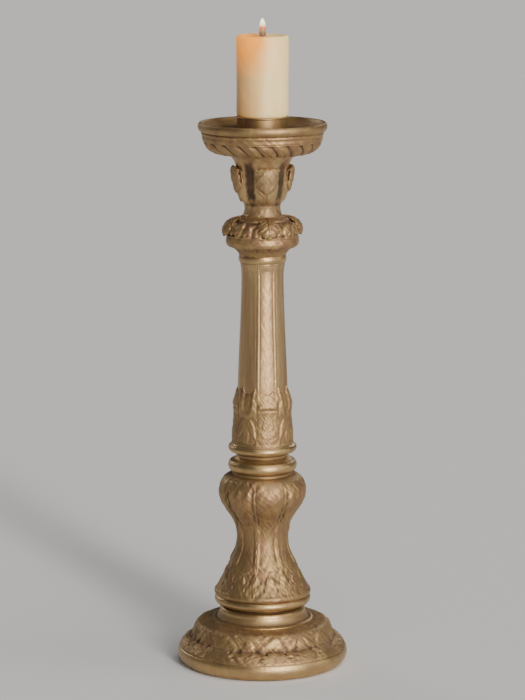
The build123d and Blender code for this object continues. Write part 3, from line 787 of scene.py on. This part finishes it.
def wax_material(top, reach):
    """Ivory wax with the flame's light painted on: orange colour and emitted light in the reach below the
    flame, most on its left, a faint emitted light all over, and painted amber shade down its left side.
    """
    material, tree, shader = nodes_of("ivory_wax")
    place = object_place(tree)
    height, right = along_axis(tree, place, "Z"), along_axis(tree, place, "X")
    ragged_height = sum_of(tree, height, noise(tree, place, 30, 3), 0.012)
    ragged_right = sum_of(tree, right, noise(tree, place, 45, 3), 0.014)
    # Painted light of the flame: strongest near the top and on the left
    painted_flame_light = product(
        tree,
        ranged(tree, ragged_height, top - reach, top),
        ranged(tree, ragged_right, 0.016, -0.012, 0.12, 1.0),
    )
    cloud = noise(tree, mapped(tree, place, (1, 1, 0.4)), 45, 4)
    ivory = ramp(tree, cloud, (0.3, DEEP_IVORY), (0.7, PALE_IVORY))
    # Painted shade down the left side, in a warm brown
    left_shade = sum_of(tree, right, noise(tree, mapped(tree, place, (1, 1, 0.12)), 60, 3), 0.02)
    ivory = mixed(tree, ranged(tree, left_shade, 0.006, -0.012, 0.0, 0.8), ivory, PAINTED_LEFT_SHADE)
    colour = mixed(tree, ranged(tree, painted_flame_light, 0.05, 0.65, 0.0, 0.92), ivory, PAINTED_FLAME_GLOW)
    tree.links.new(colour, shader.inputs["Base Color"])
    shader.inputs["Subsurface Weight"].default_value = 0.5
    shader.inputs["Subsurface Radius"].default_value = (1.0, 0.55, 0.25)
    shader.inputs["Subsurface Scale"].default_value = 0.008
    shader.inputs["Emission Color"].default_value = (*PAINTED_GLOW_LIGHT, 1)
    # The wax gives off painted light: faintly all over, and most near the top left
    tree.links.new(ranged(tree, painted_flame_light, 0, 1, 0.07, 0.75), shader.inputs["Emission Strength"])
    tree.links.new(ranged(tree, cloud, 0.3, 0.7, 0.38, 0.5), shader.inputs["Roughness"])
    bumped(tree, shader, sum_of(tree, cloud, noise(tree, place, 400, 3), 0.3), 0.0005, 0.5)
    return material


def flame_material(bottom, top):
    """A candle flame: dim and brown at its foot, orange in the middle and white at its tip."""
    material, tree, shader = nodes_of("flame")
    up = ranged(tree, along_axis(tree, object_place(tree), "Z"), bottom, top)
    colour = ramp(
        tree, up,
        (0.0, (0.30, 0.17, 0.07)), (0.25, (0.62, 0.36, 0.15)), (0.47, (0.80, 0.16, 0.04)),
        (0.66, (1.0, 0.78, 0.45)), (1.0, (1.0, 0.93, 0.80)),
    )
    shader.inputs["Base Color"].default_value = (0.05, 0.03, 0.02, 1)
    tree.links.new(colour, shader.inputs["Emission Color"])
    tree.links.new(ranged(tree, up, 0.2, 0.8, 0.55, 2.8), shader.inputs["Emission Strength"])
    return material


def worn(name, dark, light, metallic, rough, scale, grain_depth):
    """A plain worn surface: two colours in blotches, with grain."""
    material, tree, shader = nodes_of(name)
    place = object_place(tree)
    cloud = noise(tree, place, scale, 5, 0.65)
    tree.links.new(ramp(tree, cloud, (0.35, dark), (0.65, light)), shader.inputs["Base Color"])
    shader.inputs["Metallic"].default_value = metallic
    tree.links.new(ranged(tree, cloud, 0.3, 0.7, rough, rough + 0.2), shader.inputs["Roughness"])
    bumped(tree, shader, noise(tree, place, scale * 6, 4), grain_depth)
    return material


antique = brass("brass_antique", (0.44, 0.29, 0.130), 1.0, 0.48, 0.0)
aged = brass("brass_aged", (0.395, 0.258, 0.116), 1.0, 0.48, 0.0)
# Painted light: a brighter, less tarnished copy of the cast brass for the knop, whose front faces a little
# downwards and catches less light
painted_light_brass = brass("brass_painted_light", (0.56, 0.385, 0.185), 0.75, 0.44, 0.0)
drawn = brass("brass_drawn", (0.49, 0.335, 0.165), 0.45, 0.36, 0.3, stretch=0.06, warmth=1.5)
polished = brass("brass_polished", (0.50, 0.34, 0.155), 0.5, 0.34, 0.8)
sheet_brass = brass("brass_sheet", (0.38, 0.255, 0.112), 0.95, 0.44, 0.4)
steel = worn("steel_worn", (0.34, 0.34, 0.35), (0.52, 0.52, 0.53), 1.0, 0.3, 60, 0.0001)
iron = worn("iron_cast", (0.05, 0.045, 0.04), (0.09, 0.075, 0.06), 0.6, 0.6, 90, 0.0006)
felt = worn("felt_green", (0.02, 0.045, 0.025), (0.035, 0.07, 0.04), 0.0, 0.85, 260, 0.0008)
char = worn("wick_charred", (0.02, 0.016, 0.013), (0.09, 0.06, 0.04), 0.0, 0.7, 500, 0.0003)


# ---------------------------------------------------------------- the pieces

def install(piece, material, node, body="stick"):
    """Gives a piece its material and its body, and puts it in its node's place."""
    piece.data.materials.append(material)
    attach(piece, body)
    if node:
        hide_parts(node)


place_camera()
place_floor()
place_lights()

# Cast and turned sections: where each starts and ends, the rows and columns of its grid, and its ornament
sections = {
    "foot_rim": (low("foot_rim"), low("foot_dome"), 60, 360, None),
    "foot_dome": (low("foot_dome"), high("foot_dome"), 96, 780, dome_relief),
    "foot_collar": (high("foot_dome"), low("bell_ring"), 60, 300, None),
    "bell_ring": (low("bell_ring"), high("bell_ring"), 50, 300, None),
    "baluster": (high("bell_ring"), low("lower_annulet"), 172, 460, baluster_relief),
    "lower_annulet": (low("lower_annulet"), high("lower_annulet"), 60, 256, None),
    "upper_annulet": (high("lower_annulet"), low("leaf_cup"), 60, 256, None),
    "leaf_cup": (low("leaf_cup"), high("leaf_cup"), 130, 500, leaf_cup_relief),
    "necking_ring": (low("necking_ring"), low("capital_body"), 40, 256, None),
    "capital_body": (low("capital_body"), low("knop_body"), 110, 480, capital_relief),
    "knop_body": (low("knop_body"), low("drip_bowl"), 110, 300, knop_relief),
    "drip_bowl": (low("drip_bowl"), high("drip_bowl"), 84, 720, bowl_relief),
}
# The knop takes the brighter brass, which stands in for light on it
cast_brass = {"baluster": aged, "knop_body": painted_light_brass}
for node, (bottom, top, rows, columns, relief) in sections.items():
    if node == "leaf_cup":
        # Its top is notched, so its outside is read between two notches, and its bore is plain
        clear_of_ends = np.linspace(bottom + 0.02 * MM, top - 0.02 * MM, 40)
        outside = silhouette(node, FACE_STEP / 2, clear_of_ends)
        inside = [(CUP_BORE * MM, top), (CUP_BORE * MM, bottom)]
    else:
        outside, inside = outline(node, bottom, top)
    if node == "knop_body":
        # Its troughs cut deep, so its inside is a straight bore of the smallest radius
        inside[:, 0] = inside[:, 0].min()
    piece = turned(f"{node}_cast", smooth(outside), inside, rows, columns, relief)
    if relief:
        install(piece, cast_brass.get(node, antique), node)
    else:
        piece.data.set_sharp_from_angle(angle=CREASE)
        install(piece, polished, node)

# Shaft: a drawn tube, whose bore narrows towards its top
shaft_low, shaft_high = low("leaf_cup"), low("necking_ring")
bore_low, bore_high = 24 * MM, 20 * MM
tube = silhouette("shaft", FACE_STEP / 2, np.linspace(shaft_low, shaft_high, 60))
bore = [
    (bore_high, shaft_high),
    ((bore_low + bore_high) / 2, (shaft_low + shaft_high) / 2),
    (bore_low, shaft_low),
]
install(turned("shaft_cast", smooth(tube, 4), bore, 180, 480, shaft_relief), drawn, "shaft")


def knop_leaf_width(t):
    """Half the width of a knop leaf: broad where it bends over, and round at its tip."""
    return 5.0 + 9.5 * rise(t, 0, 0.4) - 12.0 * np.clip((t - 0.62) / 0.38, 0, 1) ** 5


def petal_width(t):
    """Half the width of a capital petal: widest past its middle, and blunt at its tip."""
    return 4.5 + 10.0 * np.sin(math.pi * np.clip(t, 0, 1) ** 1.3) ** 0.8 - 4.2 * t**8


# Knop leaves: each climbs the vase, bends outwards under the bowl and hangs down to a blunt tip
leaf_reach, leaf_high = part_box("knop_leaves")[1].x, high("knop_leaves")
climb = np.linspace(low("knop_leaves") + 0.5 * MM, leaf_high - 7 * MM, 12)
wall = silhouette("knop_body", 0, climb) + [1.2 * MM, 0]
bend = np.array([
    (-4.0, -3.0), (-2.8, -1.2), (-1.2, -1.8), (-0.3, -5.0), (0, -9),
    (-0.9, -15), (-2.2, -20), (-3.6, -26), (-5.6, -31),
]) * MM + [leaf_reach, leaf_high]
leaf = blade(
    smooth(np.vstack([wall, bend]), 6, 3.0), knop_leaf_width, lobes=7, depth=0.75,
    body=lambda t: 2.4 - 1.9 * rise(t, 0.42, 0.56),
    hug=lambda t: 1.4 - 4.6 * rise(t, 0.42, 0.62),
    lining=lambda t: 5.2 * rise(t, 0.5, 0.62) - 3.0 * rise(t, 0.86, 1.0),
)
# Painted light: the leaves take the knop's brighter brass too
install(leaves("knop_leaves_cast", leaf, LEAVES), painted_light_brass, "knop_leaves")

# Capital petals: each follows its CAD petal down, and turns in at its tip
petal_low, petal_high = low("capital_leaves"), high("capital_leaves")
share_down = np.clip(np.linspace(0.06, 1, 22) ** 2, 0.004, 0.99)
spine = silhouette("capital_leaves", 0, petal_high - (petal_high - petal_low) * share_down)
spine = np.vstack([spine, spine[-1] + [-1.6 * MM, -0.4 * MM], spine[-1] + [-2.9 * MM, 0.6 * MM]])
petal = blade(
    smooth(spine, 6, 2.0), petal_width, lobes=4, depth=1.2,
    body=lambda t: 2.0 + 1.6 * rise(t, 0.2, 0.6),
    hug=lambda t: 0.6 + 3.2 * rise(t, 0.1, 0.5),
    slope=0.3,
)
install(leaves("capital_leaves_cast", petal, LEAVES), antique, "capital_leaves")

# Dish and cup: spun sheet, whose whole outline comes from the frame
for node in ("drip_dish", "candle_cup"):
    loop = seam(node)
    closed = smooth(np.vstack([loop, loop[:1]]), 4)
    piece = turned(f"{node}_sheet", closed[:-1], closed[-1:], 150, 300)
    piece.data.set_sharp_from_angle(angle=CREASE)
    install(piece, sheet_brass, node, "drip_dish")

# Candle: a used wax pillar, a little thinner than its CAD solid, with a shallow pool round its wick
foot, top = low("candle"), high("candle")
shrunk, tapered = 0.9 * MM, 0.4 * MM
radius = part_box("candle")[1].x - shrunk
cup_depth = (high("candle_cup") - foot) / MM
wick_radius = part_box("wick")[1].x
foot_side = np.array([
    (1.7, 0), (1.7, cup_depth), (0.9, cup_depth + 0.4), (0.2, cup_depth + 1.0), (0, cup_depth + 2),
]) * [-MM, MM] + [radius - tapered, foot]
lip = np.array([
    (0, 6), (0, 5), (0.2, 3.2), (0.8, 1.6), (1.9, 0.5), (3.4, 0.1),
    (5.2, 0.5), (8, 1.6), (14, 2.8), (21, 3.2), (25, 3.1),
]) * -MM + [radius, top]
side = np.linspace(foot_side[-1], lip[0], 12)[1:-1]
pool = [(wick_radius, top - 2.6 * MM)]
pillar = smooth(np.vstack([foot_side, side, lip, pool]), 8, 0.8)
hole = [(wick_radius, foot + 0.48 * (top - foot)), (5.2 * MM, foot)]


def wax_relief(phi, s, r, z):
    """Slight unevenness of a used candle, most at its lip."""
    soft = grain(phi, z, 4, 60, 51)
    above_cup = rise(z, foot / MM + 19, foot / MM + 24)
    at_lip = rise(z, top / MM - 3, top / MM)
    return 0.25 * soft * above_cup - 0.5 * (soft + 0.5) * at_lip


wax = wax_material(top, reach=42 * MM)
install(turned("candle_wax", pillar, hole, 150, 200, wax_relief), wax, "candle", "candle")


def twist(phi, s, r, z):
    """Three strands that wind round each other."""
    return 0.25 * np.abs(np.cos(1.5 * phi - 1.3 * z)) - 0.3


# Wick: charred above the wax
wick_high = high("wick")
stem = [
    (wick_radius, low("wick")),
    (wick_radius, wick_high - 0.8 * MM),
    (0.5 * wick_radius, wick_high - 0.1 * MM),
    (0.05 * MM, wick_high),
]
wick = turned("wick_braid", smooth(stem), [(0.05 * MM, low("wick"))], 200, 24, twist)
install(wick, char, "wick", "candle")

# Flame: a slender drop round the top of the wick
flame_low, flame_high = top - 1.5 * MM, wick_high + 7 * MM
t = np.linspace(0, 1, 30)
swell = 4.1 * MM * np.clip(1 - t**2.6, 0, 1) ** 0.62 * (0.92 + 0.08 * np.sin(math.pi * t))
drop = np.column_stack([np.maximum(swell, 0.02 * MM), flame_low + t * (flame_high - flame_low)])
core = [(0.01 * MM, flame_high - 1 * MM), (0.01 * MM, flame_low + 1 * MM)]
flame = turned("flame", drop, core, 60, 48)
install(flame, flame_material(flame_low, flame_high), None, "candle")

# The CAD nodes that stay: felt under the foot, an iron ballast ring, and steel for the rest
carried = {"foot_pad": felt, "ballast_ring": iron}
for name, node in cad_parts.items():
    node.data.materials.clear()
    node.data.materials.append(carried.get(name, steel))
